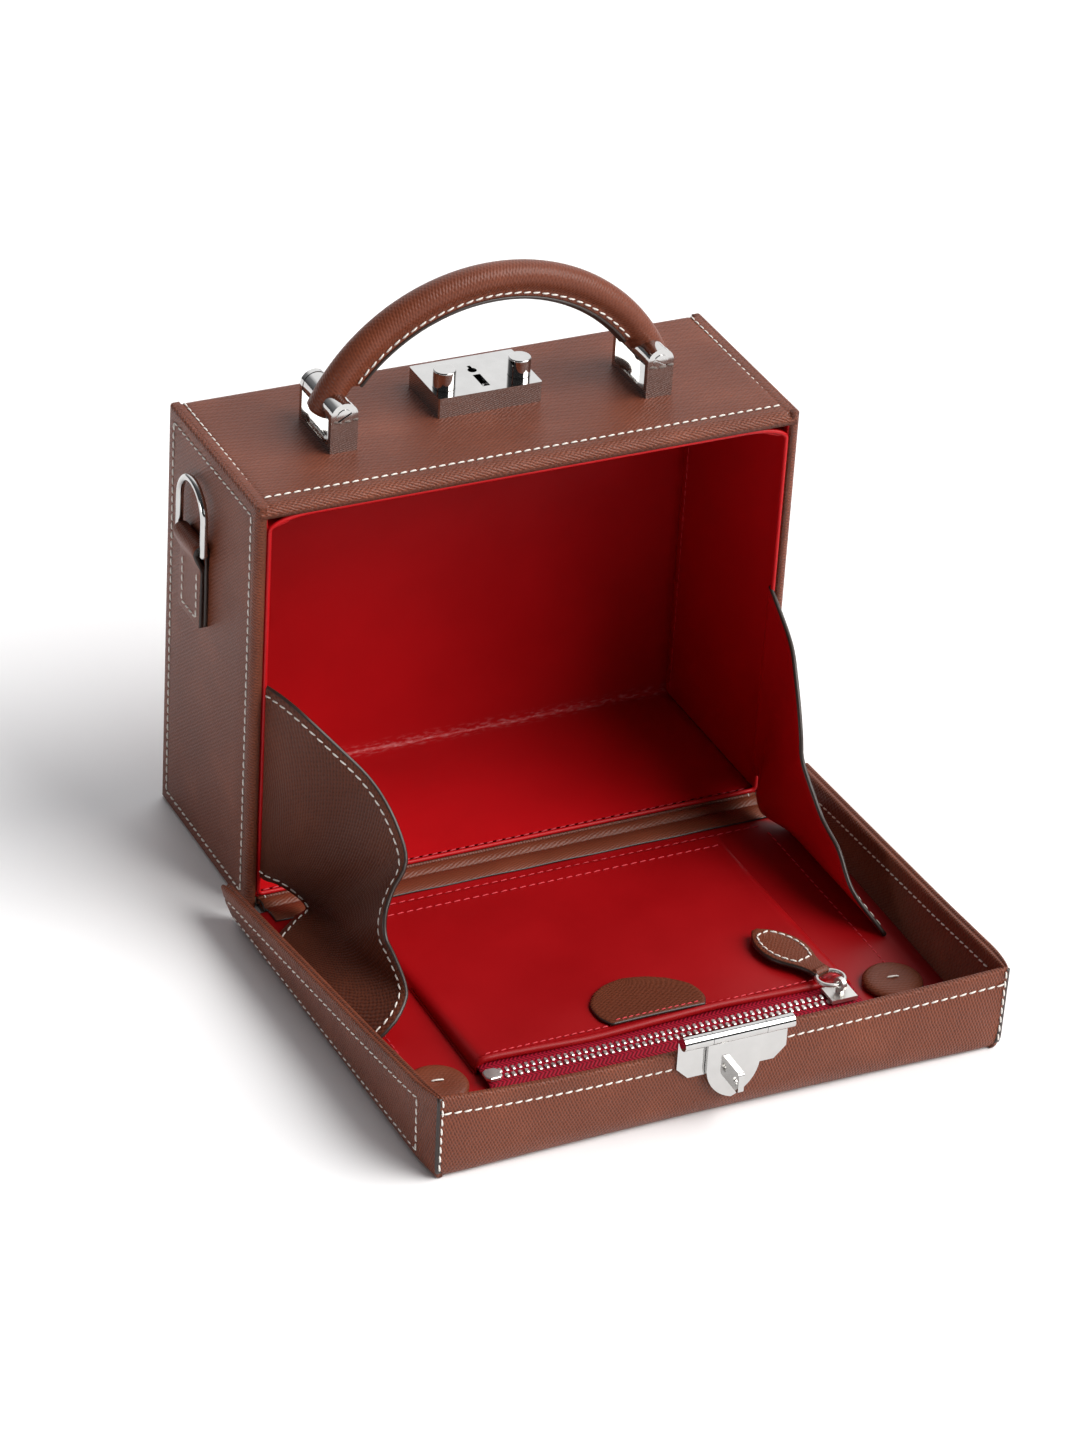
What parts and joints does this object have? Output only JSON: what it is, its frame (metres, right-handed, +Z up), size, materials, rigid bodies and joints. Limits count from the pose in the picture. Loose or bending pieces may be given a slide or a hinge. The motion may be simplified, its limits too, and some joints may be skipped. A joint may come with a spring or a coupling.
{
  "type": "leather jewellery case",
  "caption": "Upright box case in stitched brown leather with a red lining, a drop-front tray lid on a leather hinge with gussets, an arched handle, a hasp lock and a zip pocket.",
  "frame": {"origin": "centre of the case body's base, on the surface it stands on", "axes": "+Z up, +Y towards the case's back, +X to the right as seen from the opening; the open lid lies towards -Y"},
  "size_m": [0.2372, 0.2656, 0.2233],
  "materials": {
    "brown_leather": "fine cross-grained chestnut calf leather, satin",
    "red_leather": "smooth red lining leather, satin",
    "stiff_board": "bare fibre board, hidden under leather",
    "plated_metal": "polished nickel plate",
    "plain_steel": "plain steel, hidden",
    "zip_tape": "crimson herringbone zip tape",
    "handle_core": "wound cord core, hidden"
  },
  "bodies": {
    "case": {"case_top_leather": "brown_leather", "case_bottom_leather": "brown_leather", "case_back_leather": "brown_leather", "case_left_leather": "brown_leather", "case_right_leather": "brown_leather", "opening_binding": "brown_leather", "hinge_strip": "brown_leather", "hinge_cover": "brown_leather", "gusset_left": "brown_leather", "gusset_right": "brown_leather", "tab_left": "brown_leather", "tab_right": "brown_leather", "handle_cover": "brown_leather", "lining_wrap": "red_leather", "lining_sides": "red_leather", "case_top_board": "stiff_board", "case_bottom_board": "stiff_board", "case_back_board": "stiff_board", "case_left_board": "stiff_board", "case_right_board": "stiff_board", "handle_fitting_left": "plated_metal", "handle_fitting_right": "plated_metal", "bracket_left": "plated_metal", "bracket_right": "plated_metal", "handle_screws": "plated_metal", "lock_housing": "plated_metal", "bracket_rivets": "plain_steel", "lock_base": "plain_steel", "latch_spring_left": "plain_steel", "latch_spring_right": "plain_steel", "handle_core": "handle_core"},
    "lid": {"lid_face_leather": "brown_leather", "lid_front_leather": "brown_leather", "lid_left_leather": "brown_leather", "lid_right_leather": "brown_leather", "lid_floor_board": "stiff_board", "lid_front_board": "stiff_board", "lid_left_board": "stiff_board", "lid_right_board": "stiff_board", "lid_facings": "brown_leather", "lid_lining": "red_leather", "corner_pads": "brown_leather", "pocket_panel": "red_leather", "pocket_patch": "brown_leather", "zip_tape": "zip_tape", "zip_teeth": "plated_metal", "hasp_plate": "plated_metal", "hasp_pin": "plated_metal"},
    "hasp": {"hasp_flap": "plated_metal", "hasp_staple": "plated_metal"},
    "ring_left": {"d_ring_left": "plated_metal"},
    "ring_right": {"d_ring_right": "plated_metal"},
    "lock_knob_left": {"knob_left": "plated_metal", "latch_left": "plain_steel"},
    "lock_knob_right": {"knob_right": "plated_metal", "latch_right": "plain_steel"},
    "lock_cam": {"key_cam": "plain_steel"},
    "zip_car": {"zip_slider": "plated_metal"},
    "zip_tag": {"zip_pull_ring": "plated_metal", "zip_pull": "brown_leather"}
  },
  "joints": [
    {"name": "lid_hinge", "type": "hinge", "parent": "case", "child": "lid", "pos_m": [0, -0.047, 0.0025], "axis": [-1, 0, 0], "range_deg": [0, 90], "deforming": ["hinge_strip", "hinge_cover", "gusset_left", "gusset_right"]},
    {"name": "hasp_swing", "type": "hinge", "parent": "lid", "child": "hasp", "pos_m": [0, -0.2191, 0.0374], "axis": [-1, 0, 0], "range_deg": [0, 180]},
    {"name": "ring_left_swing", "type": "hinge", "parent": "case", "child": "ring_left", "pos_m": [-0.10925, 0.0095, 0.127], "axis": [0, -1, 0], "range_deg": [0, 150]},
    {"name": "ring_right_swing", "type": "hinge", "parent": "case", "child": "ring_right", "pos_m": [0.10925, 0.0095, 0.127], "axis": [0, 1, 0], "range_deg": [0, 150]},
    {"name": "knob_left_slide", "type": "slide", "parent": "case", "child": "lock_knob_left", "axis": [-1, 0, 0], "range_m": [0, 0.0024], "stiffness_N_per_m": 300, "springref_m": -0.002, "deforming": ["latch_spring_left"]},
    {"name": "knob_right_slide", "type": "slide", "parent": "case", "child": "lock_knob_right", "axis": [1, 0, 0], "range_m": [0, 0.0024], "stiffness_N_per_m": 300, "springref_m": -0.002, "deforming": ["latch_spring_right"]},
    {"name": "key_turn", "type": "hinge", "parent": "case", "child": "lock_cam", "pos_m": [0, 0.0139, 0.168], "axis": [0, 0, 1], "range_deg": [0, 90]},
    {"name": "zip_slide", "type": "slide", "parent": "lid", "child": "zip_car", "axis": [-1, 0, 0], "range_m": [0, 0.126], "deforming": ["zip_teeth"]},
    {"name": "pull_swing", "type": "hinge", "parent": "zip_car", "child": "zip_tag", "pos_m": [0.065, -0.1751, 0.0129], "axis": [0.9613, 0.2756, 0], "range_deg": [0, 110]}
  ]
}
